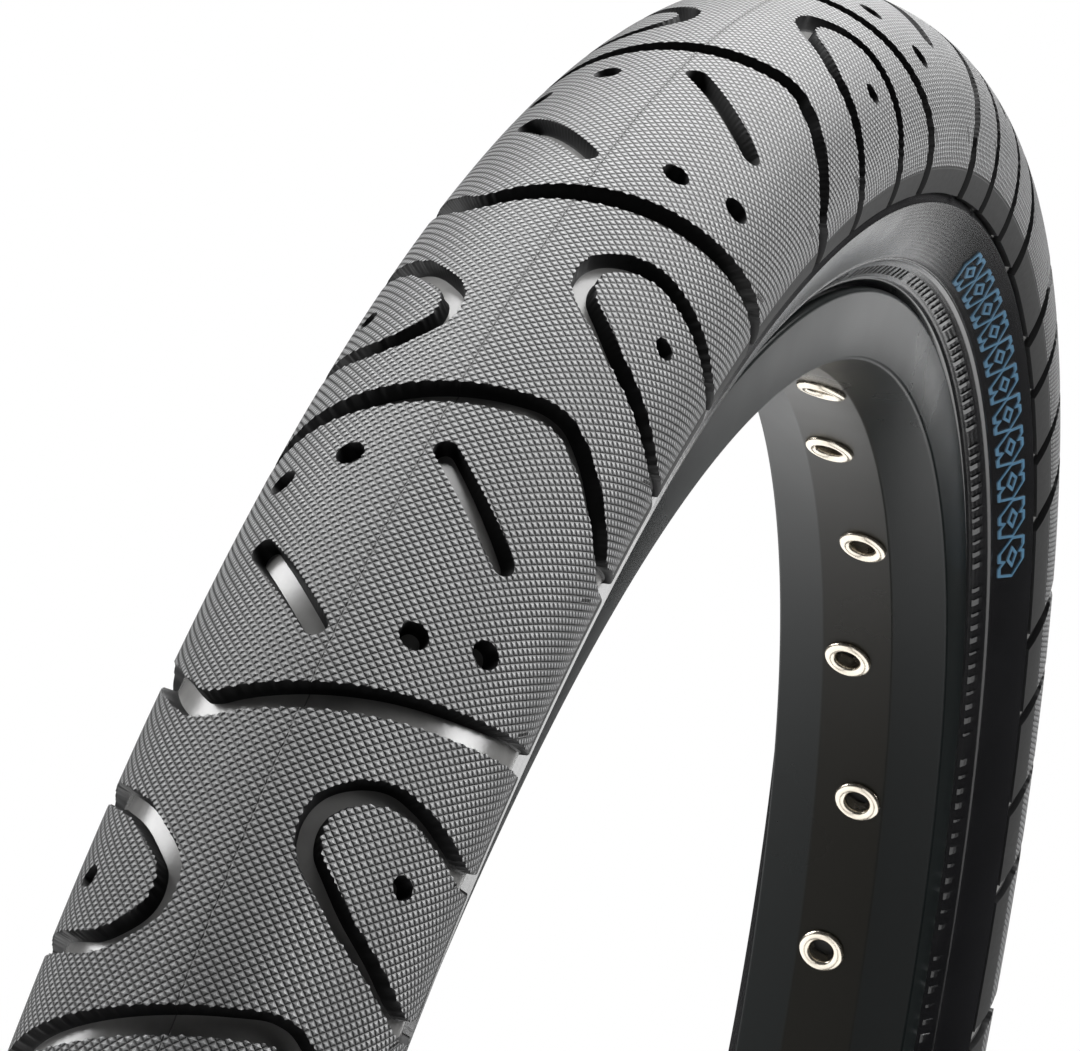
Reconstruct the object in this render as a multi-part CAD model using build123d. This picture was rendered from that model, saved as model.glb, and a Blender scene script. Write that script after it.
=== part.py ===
from build123d import *
import math
import os

# Bicycle tyre, 20 x 1.95, mounted on an eyeletted rim, with inner tube and valve.
# Origin at the wheel's centre, +Y along the axle towards the left side, +Z up.
# Sections are drawn as (distance along the axle, radius) and turned about the axle.

# ---- Tyre ------------------------------------------------------------------------
tyre_outer_radius = 252.0
tyre_half_width = 23.06
crown_height = 19.9
section_centre_radius = tyre_outer_radius - crown_height
side_arc_inset = 8.0
tread_edge_radius = 225.8
tread_side_thickness = 2.0
tread_crown_thickness = 4.2
sidewall_step = 0.3
casing_thickness = 1.2
bead_centre_y = 10.75
bead_centre_radius = 205.65
bead_bundle_radius = 1.18
bead_loop_radius = 2.1
chafer_thickness = 0.5
neck_radius = 209.3
chafer_end_radius = 208.9

# ---- Tread pattern ---------------------------------------------------------------
pitch_count = 16
pitch_angle = 360 / pitch_count
pattern_centre_angle = 122.8
groove_crown_depth = 2.3
groove_side_depth = 1.2
channel_width = 3.7
loop_width = 3.0
slot_width = 3.3
dimple_radius = 1.9

# ---- Rim -------------------------------------------------------------------------
rim_half_width = 14.9
bed_radius = 195.6
bed_half_width = 6.1
side_inner_radius = 198.4
flange_radius = 209.3
flange_thickness = 1.5
hook_thickness = 2.0
bead_seat_radius = 203.0
bead_seat_inner_y = 8.6
well_radius = 197.4
well_half_width = 6.9
chamber_points = [(9.0, 198.1), (13.3, 199.4), (13.3, 201.5), (9.7, 201.5)]
joint_key_arc = 12.0
joint_key_clearance = 0.05

# ---- Eyelets ---------------------------------------------------------------------
spoke_hole_count = 36
first_hole_angle = 85.0
eyelet_offset_y = 1.6
eyelet_hole_radius = 2.15
eyelet_barrel_radius = 2.75
eyelet_flange_radius = 4.1
eyelet_flange_height = 0.9
eyelet_lip_radius = 3.4
eyelet_lip_height = 0.7
eyelet_seat_gap = 0.05
rim_wall = well_radius - bed_radius

# ---- Tape and tube ---------------------------------------------------------------
tape_radius = 198.25
tape_thickness = 0.7
tape_half_width = 6.9
tube_wall = 0.9
tube_bottom_radius = 199.0
tube_channel_half_width = 6.8
tube_shoulder_y = 9.3
tube_shoulder_radius = 210.26

# ---- Valve, at the wheel's lowest point, stem pointing up to the axle ------------
valve_hole_radius = 4.25
patch_thickness = 1.2
patch_half_length = 13.0
patch_half_width = 5.3
stem_base_z = -(tube_bottom_radius + tube_wall + patch_thickness)
stem_tip_z = -168.4
stem_neck_radius = 3.1
stem_flange_radius = 5.2
stem_flange_height = 0.8
sleeve_radius = 4.0
sleeve_top_z = -177.6
thread_radius = 3.85
thread_pitch = 25.4 / 32
thread_depth = 0.45
stem_bore_radius = 1.9
core_bore_radius = 2.6
core_seat_z = -176.2
core_top_z = -169.2
core_gasket_top_z = -174.0
barrel_radius = 1.5
barrel_bottom_z = -182.0
pin_radius = 0.45
pin_bore_radius = 0.52
pin_top_z = -168.7
pin_collar_radius = 1.05
pin_collar_z = -175.4
pin_collar_height = 0.5
cup_radius = 1.45
cup_height = 1.0
cup_seal_height = 0.5
spring_chamber_radius = 1.2
spring_chamber_top_z = -175.0
spring_floor_z = -180.8
spring_coil_radius = 0.85
spring_wire_radius = 0.14
spring_turns = 7
cap_radius = 4.9
cap_bore_radius = thread_radius + 0.07
cap_skirt_z = -177.4
cap_seal_thickness = 0.8
cap_roof_thickness = 0.9
cap_rib_count = 24
cap_rib_radius = 0.25

far = 600.0
os.makedirs("parts", exist_ok=True)


def save(name, shape):
    """Write one piece to its own file."""
    export_step(shape, f"parts/{name}.step")


def above(radius):
    """Half-plane of sections farther out than a radius."""
    return Pos(0, radius + far / 2) * Rectangle(far, far)


def below(radius):
    """Half-plane of sections nearer the axle than a radius."""
    return Pos(0, radius - far / 2) * Rectangle(far, far)


def side(sign):
    """Half-plane of sections left (+1) or right (-1) of the wheel's middle."""
    return Pos(sign * far / 2, 0) * Rectangle(far, 2 * far)


def turned(section, arc=360.0):
    """Turn a section about the axle."""
    return revolve(Plane.YZ * section, axis=Axis.Y, revolution_arc=arc)


def at_angle(angle, shape):
    """Swing a shape made at the top of the wheel round to an angle from +X."""
    return Rot(0, 90 - angle, 0) * shape


def envelope(half_width, height):
    """Filled tyre section: elliptical crown over two side arcs."""
    middle = section_centre_radius
    crown = (Pos(0, middle) * Ellipse(half_width, height)) & above(middle)
    arc_radius = half_width + side_arc_inset
    left = Pos(side_arc_inset, middle) * Circle(arc_radius)
    right = Pos(-side_arc_inset, middle) * Circle(arc_radius)
    return crown + (left & right & below(middle))


def mirrored_outline(half):
    """Closed outline from its half with y >= 0, listed from the middle out and back."""
    other = [(-y, r) for y, r in reversed(half) if y > 0]
    return make_face(Polyline(*half, *other, close=True))


# ---- Tread -----------------------------------------------------------------------
casing_half_width = tyre_half_width - tread_side_thickness
casing_height = crown_height - tread_crown_thickness
casing_outside = envelope(casing_half_width, casing_height)
casing_inside = envelope(
    casing_half_width - casing_thickness, casing_height - casing_thickness
)
tread_section = envelope(tyre_half_width, crown_height) - casing_outside
tread_ring = turned(tread_section & above(tread_edge_radius))

# Grooves are cut to the floor of an inner envelope, so they get shallower at the shoulders.
groove_floor = envelope(
    tyre_half_width - groove_side_depth, crown_height - groove_crown_depth
)
groove_band = turned(
    (envelope(tyre_half_width + 1, crown_height + 1) - groove_floor)
    & above(tread_edge_radius - 3),
    arc=60,
)
groove_band = Rot(0, -30, 0) * groove_band

# Centre lines on one pitch: (degrees from the pattern's centre, distance along the axle).
channel = [(-4.2, -25), (-4.3, -22.4), (-6.7, -13.1), (-6.4, -7.5), (-5.0, 14.9), (-3.2, 25)]
loop = [(7.9, -25), (7.8, -14.9), (8.6, -8.2), (9.6, -6.9), (10.6, -7.9), (13.1, -21.4)]
loop += [(12.6, -25)]
slot = [(-3.6, -2.5), (-2.6, -7.5), (-0.8, -15.2)]
dimples = [(2.1, -17.2), (2.9, -9.2), (10.1, -18.8)]


def groove_tool(points, width):
    """Radial prism along a centre line, swung to that line's own middle angle."""
    middle = sum(angle for angle, _ in points) / len(points)
    scale = math.radians(1) * tyre_outer_radius
    line = Polyline(*[((middle - angle) * scale, y) for angle, y in points])
    plan = trace(line, line_width=width)
    prism = Pos(0, 0, tread_edge_radius - 8) * extrude(plan, amount=36)
    return Rot(0, -middle, 0) * (prism & groove_band)


def dimple_tool(angle, y):
    """Round blind hole towards the middle of the tyre's section."""
    lean = math.degrees(math.asin(y / tyre_half_width))
    plug = Cylinder(dimple_radius, 12, align=(Align.CENTER, Align.CENTER, Align.MIN))
    placed = Pos(0, 0, section_centre_radius) * Rot(-lean, 0, 0) * Pos(0, 0, 14) * plug
    return Rot(0, -angle, 0) * (placed & groove_band)


half_pitch = [groove_tool(channel, channel_width), groove_tool(loop, loop_width)]
half_pitch += [groove_tool(slot, slot_width)]
half_pitch += [dimple_tool(angle, y) for angle, y in dimples]

# The pattern repeats after half a turn about the radius through its centre.
one_pitch = half_pitch + [Rot(0, 0, 180) * tool for tool in half_pitch]
cuts = []
for index in range(pitch_count):
    angle = pattern_centre_angle + index * pitch_angle
    cuts += [at_angle(angle, tool) for tool in one_pitch]
tread = tread_ring - cuts
save("tread", tread)

# ---- Sidewalls, casing and beads -------------------------------------------------
wall_section = envelope(tyre_half_width - sidewall_step, crown_height) - casing_outside
wall_section = wall_section & below(tread_edge_radius) & above(neck_radius)
casing_section = (casing_outside - casing_inside) & above(neck_radius)


def neck_outline():
    """Left bead loop and the ply leading up from it to the neck."""
    ply = casing_section & side(1)
    end = ply.edges().sort_by(Axis.Y)[0]
    ring = Pos(bead_centre_y, bead_centre_radius) * Circle(bead_loop_radius)
    return make_hull([*ring.edges(), end])


neck = neck_outline()
bead_bundle = Pos(bead_centre_y, bead_centre_radius) * Circle(bead_bundle_radius)
chafer_section = offset(neck, amount=chafer_thickness) - neck
chafer_section = chafer_section & below(chafer_end_radius)
loops = (neck - bead_bundle) + mirror(neck - bead_bundle, about=Plane.YZ)
casing = turned(casing_section + loops)
save("casing_ply", casing)

for name, sign in (("left", 1), ("right", -1)):
    flip = Rot(0, 0, 0) if sign > 0 else Rot(0, 0, 180)
    save(f"sidewall_{name}", turned(wall_section & side(sign)))
    save(f"bead_wire_{name}", flip * turned(bead_bundle))
    save(f"chafer_{name}", flip * turned(chafer_section))

# ---- Rim -------------------------------------------------------------------------
inner_face_y = rim_half_width - flange_thickness
hook_y = rim_half_width - hook_thickness
rim_half = [
    (0, bed_radius),
    (bed_half_width, bed_radius),
    (rim_half_width, side_inner_radius),
    (rim_half_width, flange_radius),
    (hook_y, flange_radius),
    (hook_y, flange_radius - 1.1),
    (inner_face_y, flange_radius - 1.9),
    (inner_face_y, bead_seat_radius),
    (bead_seat_inner_y, bead_seat_radius),
    (well_half_width, well_radius),
    (0, well_radius),
]
rim_section = mirrored_outline(rim_half)
outer_corners = rim_section.vertices().filter_by(
    lambda v: abs(v.X) > hook_y - 0.1 and (v.Y < 199 or v.Y > flange_radius - 0.1)
)
rim_section = fillet(outer_corners, radius=0.8)
chamber = make_face(Polyline(*chamber_points, close=True))
chamber = fillet(chamber.vertices(), radius=0.4)
rim_section = rim_section - chamber - mirror(chamber, about=Plane.YZ)
rim = turned(rim_section)

spoke_hole = Cylinder(eyelet_barrel_radius + 0.05, 12)
valve_hole = Cylinder(valve_hole_radius, 20)
holes = [Pos(0, 0, -bed_radius) * valve_hole]
eyelet_spots = []
for index in range(spoke_hole_count):
    sign = -1 if index % 2 == 0 else 1
    angle = first_hole_angle - index * 360 / spoke_hole_count
    spot = Rot(0, 90 - angle, 0) * Pos(0, sign * eyelet_offset_y, bed_radius)
    eyelet_spots.append((sign, spot))
    holes.append(spot * spoke_hole)
rim = rim - holes
save("rim", rim)

key_section = offset(chamber, amount=-joint_key_clearance)
key = Rot(0, -joint_key_arc / 2, 0) * turned(key_section, arc=joint_key_arc)
save("rim_joint_keys", Compound(children=[key, Rot(0, 0, 180) * key]))


# ---- Eyelets ---------------------------------------------------------------------
def eyelet():
    """Flanged tube with its far end rolled over, flange face at z = 0."""
    lip_z = rim_wall + 2 * eyelet_seat_gap
    hole = eyelet_hole_radius
    crest = (hole + eyelet_flange_radius) / 2
    flange = ThreePointArc(
        (eyelet_flange_radius, -0.15), (crest, -eyelet_flange_height), (hole, -0.3)
    )
    inside = Line((hole, -0.3), (hole, lip_z + 0.3))
    lip = ThreePointArc(
        (hole, lip_z + 0.3),
        ((hole + eyelet_lip_radius) / 2, lip_z + eyelet_lip_height),
        (eyelet_lip_radius, lip_z),
    )
    barrel = Polyline(
        (eyelet_lip_radius, lip_z),
        (eyelet_barrel_radius, lip_z),
        (eyelet_barrel_radius, 0),
        (eyelet_flange_radius, 0),
        (eyelet_flange_radius, -0.15),
    )
    section = make_face([*flange.edges(), *inside.edges(), *lip.edges(), *barrel.edges()])
    return revolve(Plane.XZ * section, axis=Axis.Z)


one_eyelet = Pos(0, 0, -eyelet_seat_gap) * eyelet()
for name, sign in (("left", 1), ("right", -1)):
    row = [spot * one_eyelet for spot_sign, spot in eyelet_spots if spot_sign == sign]
    save(f"spoke_eyelets_{name}", Compound(children=row))

# ---- Tape and inner tube ---------------------------------------------------------
tape_section = Pos(0, tape_radius + tape_thickness / 2) * Rectangle(
    2 * tape_half_width, tape_thickness
)
tape_hole = Pos(0, 0, -tape_radius) * Cylinder(valve_hole_radius + 0.1, 10)
save("rim_tape", turned(tape_section) - tape_hole)

tube_neck = mirrored_outline(
    [
        (0, tube_bottom_radius),
        (tube_channel_half_width - 0.6, tube_bottom_radius),
        (tube_channel_half_width, tube_bottom_radius + 1.5),
        (tube_channel_half_width, neck_radius - 0.7),
        (tube_shoulder_y, tube_shoulder_radius),
        (0, tube_shoulder_radius),
    ]
)
hollow_half_width = tube_channel_half_width - tube_wall
hollow_shoulder_radius = tube_shoulder_radius + 1.15
hollow_neck = mirrored_outline(
    [
        (0, tube_bottom_radius + tube_wall),
        (hollow_half_width - 0.5, tube_bottom_radius + tube_wall),
        (hollow_half_width, tube_bottom_radius + 1.9),
        (hollow_half_width, neck_radius - 0.25),
        (tube_shoulder_y, hollow_shoulder_radius),
        (0, hollow_shoulder_radius),
    ]
)
tube_inside = envelope(
    casing_half_width - casing_thickness - tube_wall,
    casing_height - casing_thickness - tube_wall,
)
tube_section = (casing_inside & above(tube_shoulder_radius)) + tube_neck
tube_hollow = (tube_inside & above(hollow_shoulder_radius)) + hollow_neck
tube = turned(tube_section - tube_hollow)
tube = tube - Pos(0, 0, -tube_bottom_radius) * Cylinder(sleeve_radius, 8)
save("inner_tube", tube)

# ---- Valve base patch ------------------------------------------------------------
patch_inner = tube_bottom_radius + tube_wall
patch_shell = turned(
    Pos(0, patch_inner + patch_thickness / 2)
    * Rectangle(2 * patch_half_width, patch_thickness)
)
patch_plan = SlotOverall(2 * patch_half_length, 2 * patch_half_width)
patch_block = Pos(0, 0, -patch_inner - 6) * extrude(patch_plan, amount=12)
patch = (patch_shell & patch_block) - Pos(0, 0, -patch_inner) * Cylinder(sleeve_radius, 8)
save("valve_base_patch", patch)


# ---- Valve -----------------------------------------------------------------------
def turned_on_z(points):
    """Solid of revolution about the valve's own axis from (radius, z) points."""
    return revolve(Plane.XZ * make_face(Polyline(*points, close=True)), axis=Axis.Z)


def thread_outline(radius, top_z, bottom_z):
    """Ridges and roots of an outside thread, from the top down."""
    points = []
    z = top_z
    while z - thread_pitch > bottom_z:
        points += [(radius - thread_depth, z - 0.06), (radius, z - thread_pitch / 2)]
        z = z - thread_pitch
    return points


ridges = thread_outline(thread_radius, stem_tip_z, sleeve_top_z + 0.3)
stem = turned_on_z(
    [(core_bore_radius, stem_tip_z), (thread_radius - thread_depth, stem_tip_z)]
    + ridges
    + [
        (stem_neck_radius, sleeve_top_z),
        (stem_neck_radius, stem_base_z),
        (stem_flange_radius, stem_base_z),
        (stem_flange_radius, stem_base_z - stem_flange_height),
        (stem_bore_radius, stem_base_z - stem_flange_height),
        (stem_bore_radius, core_seat_z),
        (core_bore_radius, core_seat_z + 0.7),
    ]
)
save("valve_stem", stem)

sleeve = turned_on_z(
    [
        (stem_neck_radius, sleeve_top_z),
        (sleeve_radius - 0.3, sleeve_top_z),
        (sleeve_radius, sleeve_top_z - 0.6),
        (sleeve_radius, stem_base_z),
        (stem_neck_radius, stem_base_z),
    ]
)
save("valve_stem_sleeve", sleeve)

housing_radius = core_bore_radius - 0.05
housing = turned_on_z(
    [
        (pin_bore_radius, core_top_z),
        (housing_radius, core_top_z),
        (housing_radius, core_gasket_top_z),
        (barrel_radius, core_gasket_top_z),
        (barrel_radius, barrel_bottom_z),
        (pin_bore_radius, barrel_bottom_z),
        (pin_bore_radius, spring_floor_z),
        (spring_chamber_radius, spring_floor_z),
        (spring_chamber_radius, spring_chamber_top_z),
        (pin_bore_radius, spring_chamber_top_z),
    ]
)
save("valve_core_housing", housing)

gasket = turned_on_z(
    [
        (barrel_radius, core_gasket_top_z),
        (housing_radius - 0.1, core_gasket_top_z),
        (housing_radius - 0.1, core_seat_z + 0.9),
        (barrel_radius + 0.3, core_seat_z + 0.2),
        (barrel_radius, core_seat_z + 0.2),
    ]
)
save("valve_core_gasket", gasket)

collar_top_z = pin_collar_z + pin_collar_height / 2
pin_bottom_z = barrel_bottom_z - cup_seal_height - cup_height - 0.4
pin = Pos(0, 0, (pin_top_z + pin_bottom_z) / 2) * Cylinder(
    pin_radius, pin_top_z - pin_bottom_z
)
pin = pin + Pos(0, 0, pin_collar_z) * Cylinder(pin_collar_radius, pin_collar_height)
save("valve_core_pin", pin)

cup_seal_z = barrel_bottom_z - cup_seal_height / 2
cup_z = barrel_bottom_z - cup_seal_height - cup_height / 2
pin_passage = Pos(0, 0, barrel_bottom_z) * Cylinder(pin_radius, 12)
cup_seal = Pos(0, 0, cup_seal_z) * Cylinder(cup_radius - 0.1, cup_seal_height)
cup = Pos(0, 0, cup_z) * Cylinder(cup_radius, cup_height)
save("valve_core_cup_seal", cup_seal - pin_passage)
save("valve_core_cup", cup - pin_passage)

spring_bottom = spring_floor_z + spring_wire_radius + 0.02
spring_top = pin_collar_z - pin_collar_height / 2 - spring_wire_radius - 0.02
spring_length = spring_top - spring_bottom
coil = Helix(spring_length / spring_turns, spring_length, spring_coil_radius)
wire_plane = Plane(origin=coil @ 0, z_dir=coil % 0)
spring = sweep(wire_plane * Circle(spring_wire_radius), path=coil)
save("valve_core_spring", Pos(0, 0, spring_bottom) * spring)

# ---- Dust cap --------------------------------------------------------------------
cap_seal_z = stem_tip_z + 0.05
roof_z = cap_seal_z + cap_seal_thickness
cap_top_z = roof_z + cap_roof_thickness
cap = turned_on_z(
    [
        (0, roof_z),
        (cap_bore_radius, roof_z),
        (cap_bore_radius, cap_skirt_z),
        (cap_radius - 0.3, cap_skirt_z),
        (cap_radius, cap_skirt_z + 0.3),
        (cap_radius - 0.25, cap_top_z - 0.8),
        (cap_radius - 1.1, cap_top_z),
        (0, cap_top_z),
    ]
)
rib_length = cap_top_z - cap_skirt_z - 2.6
rib = Pos(cap_radius - 0.05, 0, (cap_top_z + cap_skirt_z) / 2) * Cylinder(
    cap_rib_radius, rib_length
)
ribs = [Rot(0, 0, index * 360 / cap_rib_count) * rib for index in range(cap_rib_count)]
save("valve_cap", cap + ribs)

washer = Cylinder(cap_bore_radius - 0.1, cap_seal_thickness)
save("valve_cap_seal", Pos(0, 0, cap_seal_z + cap_seal_thickness / 2) * washer)
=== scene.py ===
import math

import bmesh
import bpy
import numpy as np
from mathutils import Matrix, Vector
from mathutils.geometry import delaunay_2d_cdt


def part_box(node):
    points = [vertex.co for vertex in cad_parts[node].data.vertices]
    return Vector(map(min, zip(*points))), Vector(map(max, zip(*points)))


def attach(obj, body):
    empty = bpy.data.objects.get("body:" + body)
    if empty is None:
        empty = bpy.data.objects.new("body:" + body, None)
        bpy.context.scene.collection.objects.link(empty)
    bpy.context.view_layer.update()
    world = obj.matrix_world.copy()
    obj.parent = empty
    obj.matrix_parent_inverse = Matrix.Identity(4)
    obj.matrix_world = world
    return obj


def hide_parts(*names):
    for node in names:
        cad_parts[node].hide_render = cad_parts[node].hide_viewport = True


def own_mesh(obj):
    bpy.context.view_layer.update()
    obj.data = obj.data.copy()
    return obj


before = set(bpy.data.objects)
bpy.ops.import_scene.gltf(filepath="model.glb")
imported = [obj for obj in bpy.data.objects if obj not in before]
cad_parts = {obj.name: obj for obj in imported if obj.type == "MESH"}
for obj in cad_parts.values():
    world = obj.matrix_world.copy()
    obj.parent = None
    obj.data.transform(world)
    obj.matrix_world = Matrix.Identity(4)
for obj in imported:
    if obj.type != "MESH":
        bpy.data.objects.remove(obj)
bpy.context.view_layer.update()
MM = 0.001
WHEEL = "wheel"

# ---- Sizes, from the frame and in millimetres --------------------------------------
_, tread_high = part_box("tread")
_, rim_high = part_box("rim")
OUTER = tread_high.z / MM
HALF_WIDTH = tread_high.y / MM
CROWN_HEIGHT = 19.9
MIDDLE = OUTER - CROWN_HEIGHT

# Rim: radii, and half widths across the wheel.
FLANGE = rim_high.z / MM
RIM_HALF = rim_high.y / MM
BED = 195.6
BED_HALF = 6.1
SIDE_INNER = 198.4
WELL = 197.4
WELL_HALF = 6.9
SEAT = 203.0
SEAT_INNER = 8.6

# Tread pattern: edges are measured along the section from the crown.
PITCHES = 16
PITCH_DEG = 360 / PITCHES
CENTRE_DEG = 122.8
EDGE = 40.3
KNURL_EDGE = 35.8
PER_DEG = math.radians(1) * OUTER
PITCH = PITCH_DEG * PER_DEG
# The knurl's points lie on diagonal rows, a whole number of them in one pitch.
KNURL_CYCLES = round(0.73 * PITCH) / PITCH

# Grooves get shallower from the crown to the edge, over the shoulder.
CROWN_DEPTH = 2.3
EDGE_DEPTH = 1.2
SHOULDER_START = 24
SHOULDER_LENGTH = 16
CHANNEL_WIDTH = 3.7
LOOP_WIDTH = 3.0
SLOT_WIDTH = 3.3

EYELETS = 36
FIRST_EYELET_DEG = 85.0
EYELET_OFFSET = 1.6
SPOKE_HOLE_RADIUS = 2.85
VALVE_HOLE_RADIUS = 4.25
CUTTER_LENGTH = 9


# ---- Small helpers -----------------------------------------------------------------
def add_mesh(name, points, faces, body=WHEEL, smooth=True, sharp_deg=32):
    """A mesh piece in metres from points in millimetres."""
    mesh = bpy.data.meshes.new(name)
    mesh.from_pydata((np.asarray(points, float) * MM).tolist(), [], faces)
    mesh.validate()
    mesh.polygons.foreach_set("use_smooth", [smooth] * len(mesh.polygons))
    mesh.set_sharp_from_angle(angle=math.radians(sharp_deg))
    piece = bpy.data.objects.new(name, mesh)
    bpy.context.scene.collection.objects.link(piece)
    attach(piece, body)
    return piece


def wheel_point(theta, y, r):
    """Points at an angle from +X, a distance along the axle and a radius."""
    theta, y, r = np.broadcast_arrays(theta, y, r)
    return np.stack([r * np.cos(theta), y, r * np.sin(theta)], -1)


def ring_mesh(name, profile, steps, closed=True):
    """Turn a profile of (y, r) points about the axle."""
    profile = np.asarray(profile, float)
    count = len(profile)
    theta = np.arange(steps) * 2 * math.pi / steps
    points = wheel_point(theta[:, None], profile[None, :, 0], profile[None, :, 1])
    spans = count if closed else count - 1
    faces = []
    for i in range(steps):
        here, there = i * count, (i + 1) % steps * count
        for j in range(spans):
            k = (j + 1) % count
            faces.append((here + j, there + j, there + k, here + k))
    return add_mesh(name, points.reshape(-1, 3), faces)


def smooth_line(points, spacing=0.38):
    """Points along a Catmull-Rom curve through the given ones, about evenly spaced."""
    points = np.asarray(points, float)
    before = 2 * points[0] - points[1]
    after = 2 * points[-1] - points[-2]
    knots = np.vstack([before, points, after])
    pieces = []
    for i in range(1, len(knots) - 2):
        a, b, c, d = knots[i - 1 : i + 3]
        t = np.linspace(0, 1, 40, endpoint=False)[:, None]
        pieces.append(
            0.5
            * (
                2 * b
                + (c - a) * t
                + (2 * a - 5 * b + 4 * c - d) * t**2
                + (3 * b - a - 3 * c + d) * t**3
            )
        )
    line = np.vstack([*pieces, points[-1:]])
    run = np.concatenate([[0], np.cumsum(np.hypot(*np.diff(line, axis=0).T))])
    even = np.linspace(0, run[-1], max(int(run[-1] / spacing), 4) + 1)
    return np.stack([np.interp(even, run, line[:, 0]), np.interp(even, run, line[:, 1])], -1)


def normals_of(line):
    """Unit normals to the left of a line."""
    ahead = np.gradient(line, axis=0)
    ahead /= np.linalg.norm(ahead, axis=1)[:, None]
    return np.stack([-ahead[:, 1], ahead[:, 0]], -1)


# ---- Tyre section ------------------------------------------------------------------
# Lookup table from the distance along the section to its angle.
PHI = np.radians(np.linspace(-125, 125, 5001))
SECTION_Y = HALF_WIDTH * np.sin(PHI)
SECTION_R = MIDDLE + CROWN_HEIGHT * np.cos(PHI)
ARC = np.concatenate([[0], np.cumsum(np.hypot(np.diff(SECTION_Y), np.diff(SECTION_R)))])
ARC -= np.interp(0, PHI, ARC)


def section(v):
    """(y, r) and outward normal of the tyre's section, v millimetres from the crown."""
    phi = np.interp(v, ARC, PHI)
    y, r = HALF_WIDTH * np.sin(phi), MIDDLE + CROWN_HEIGHT * np.cos(phi)
    normal = np.stack([np.sin(phi) / HALF_WIDTH, np.cos(phi) / CROWN_HEIGHT], -1)
    normal /= np.linalg.norm(normal, axis=-1)[..., None]
    return y, r, normal


def groove_depth(v):
    """Depth of a groove's floor, less at the shoulders than on the crown."""
    t = np.clip((np.abs(v) - SHOULDER_START) / SHOULDER_LENGTH, 0, 1)
    return CROWN_DEPTH + (EDGE_DEPTH - CROWN_DEPTH) * t * t * (3 - 2 * t)


def on_tyre(u, v, depth):
    """Place flat pattern points on the tyre, u millimetres round its crown."""
    y, r, normal = section(v)
    theta = math.radians(CENTRE_DEG) + u / OUTER
    return wheel_point(theta, y - depth * normal[..., 0], r - depth * normal[..., 1])


# ---- Tread pattern -----------------------------------------------------------------
# Centre lines on one pitch: (degrees from the pattern's centre, millimetres from the crown).
CHANNEL = [(-5.3, -EDGE), (-4.7, -36), (-4.2, -32), (-4.5, -28.5), (-6.3, -17.5)]
CHANNEL += [(-6.7, -13), (-6.4, -7), (-5.4, 9), (-4.5, 22), (-3.3, 34), (-2.5, EDGE)]
LOOP = [(7.2, -EDGE), (7.9, -35), (8.2, -30), (7.9, -20), (7.85, -15.5), (8.2, -11.5)]
LOOP += [(8.8, -8.4), (9.6, -7.2), (10.5, -8.0), (11.2, -10.8), (12.1, -15.6)]
LOOP += [(12.8, -21.5), (13.4, -28), (13.4, -33), (12.5, -EDGE)]
SLOT = [(-3.6, -2.8), (-2.8, -6.5), (-1.8, -11.2), (-0.9, -15.6)]
DIMPLES = [(2.1, -18.9, 1.9), (2.9, -9.4, 1.85), (10.1, -21.3, 1.5)]

# Each groove wall steps down through (sideways, share of depth, bite of the knurl) from
# its top edge.
WALL_STEPS = [(0.18, 0.0, 0.26), (0.06, 0.12, 0.14), (-0.12, 0.86, 0.0), (-0.36, 1.0, 0.0)]
# The bite fades out over this length before the knurl's border.
BITE_FADE = 1.5
# Only the ends of a groove's sides lie on the tread's edge, the rest at least this far in.
EDGE_GAP = 0.15


def flat(points):
    """Pattern points in millimetres both ways."""
    return [(degrees * PER_DEG, v) for degrees, v in points]


def knurl_bite(line):
    """How far the knurl's valleys notch a groove's edge, between -1 and 1."""
    waves = [np.cos(2 * math.pi * KNURL_CYCLES * (line[:, 0] + k * line[:, 1])) for k in (1, -1)]
    fade = np.clip((KNURL_EDGE - np.abs(line[:, 1])) / BITE_FADE, 0, 1)
    return 0.5 * (waves[0] + waves[1]) * fade


def open_groove(points, width):
    """Rings of outline points of a groove whose ends leave the tread."""
    line = smooth_line(flat(points))
    normal = normals_of(line)
    rings = []
    for aside, share, bite in WALL_STEPS:
        reach = width / 2 + aside
        sides = []
        for way in (1, -1):
            edge = line + way * reach * normal
            edge += way * bite * knurl_bite(edge)[:, None] * normal
            for end in (0, -1):
                slant = reach / max(abs(normal[end, 0]), 0.5)
                across = way * slant * np.sign(normal[end, 0])
                edge[end] = line[end] + np.array([across, 0])
            inner = edge[1:-1]
            inner[:, 1] = np.clip(inner[:, 1], EDGE_GAP - EDGE, EDGE - EDGE_GAP)
            sides.append(edge)
        rings.append((sides, share))
    return {"open": True, "rings": rings}


def closed_groove(line, width):
    """Rings of outline points of a groove with round ends, or of a round hole."""
    normal = normals_of(line) if len(line) > 1 else None
    rings = []
    for aside, share, bite in WALL_STEPS:
        reach = width / 2 + aside
        if normal is None:
            turn = np.linspace(0, 2 * math.pi, 28, endpoint=False)
            out = np.stack([np.cos(turn), np.sin(turn)], -1)
            wave = knurl_bite(line[0] + reach * out)[:, None]
            loop = line[0] + (reach + 0.6 * bite * wave) * out
        else:
            left = line + reach * normal
            left += bite * knurl_bite(left)[:, None] * normal
            right = line - reach * normal
            right = (right - bite * knurl_bite(right)[:, None] * normal)[::-1]
            turn = np.linspace(0, math.pi, 11)[1:-1, None]
            ahead = np.array([normal[-1, 1], -normal[-1, 0]])
            behind = -np.array([normal[0, 1], -normal[0, 0]])
            far = line[-1] + reach * (np.cos(turn) * normal[-1] + np.sin(turn) * ahead)
            near = line[0] + reach * (-np.cos(turn) * normal[0] + np.sin(turn) * behind)
            loop = np.vstack([left, far, right, near])
        rings.append(([loop], share))
    return {"open": False, "rings": rings}


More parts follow.
